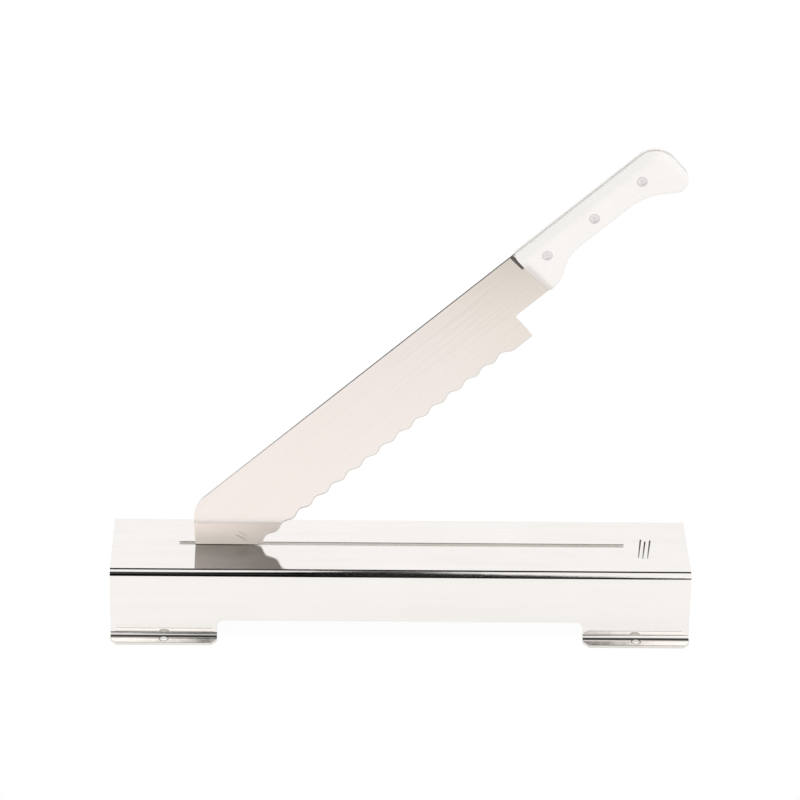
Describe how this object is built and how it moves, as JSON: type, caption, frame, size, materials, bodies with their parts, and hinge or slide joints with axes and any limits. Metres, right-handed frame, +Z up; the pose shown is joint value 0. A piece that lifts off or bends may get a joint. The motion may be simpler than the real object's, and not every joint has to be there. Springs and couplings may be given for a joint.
{
  "type": "hinged board knife",
  "caption": "Long serrated knife with a white handle, hinged at its tip in a slotted, folded steel base on screw-down feet, for cutting hard dried fish.",
  "frame": {"origin": "on the table under the middle of the base", "axes": "+X along the base from the hinge towards the handle, +Y across it away from the user, +Z up"},
  "size_m": [0.4, 0.102, 0.3509],
  "materials": {
    "base_steel": "polished stainless sheet",
    "lug_steel": "plain rolled plate",
    "fastener_steel": "satin",
    "blade_steel": "polished with a fine lengthwise grain",
    "handle_plastic": "satin white",
    "rivet_steel": "turned, flush",
    "spacer_nylon": "natural nylon"
  },
  "bodies": {
    "base": {"base_sheet": "base_steel", "lug_front": "lug_steel", "lug_rear": "lug_steel", "spacer_front": "spacer_nylon", "spacer_rear": "spacer_nylon", "washer_front": "fastener_steel", "washer_rear": "fastener_steel", "pivot_bolt": "fastener_steel", "pivot_nut": "fastener_steel"},
    "knife": {"blade": "blade_steel", "scale_front": "handle_plastic", "scale_rear": "handle_plastic", "rivet_1_stud": "rivet_steel", "rivet_1_sleeve": "rivet_steel", "rivet_2_stud": "rivet_steel", "rivet_2_sleeve": "rivet_steel", "rivet_3_stud": "rivet_steel", "rivet_3_sleeve": "rivet_steel"}
  },
  "joints": [
    {"name": "knife_hinge", "type": "hinge", "parent": "base", "child": "knife", "pos_m": [-0.12008, 0, 0.0427], "axis": [0, 1, 0], "range_deg": [-31.5, 41.5]}
  ]
}
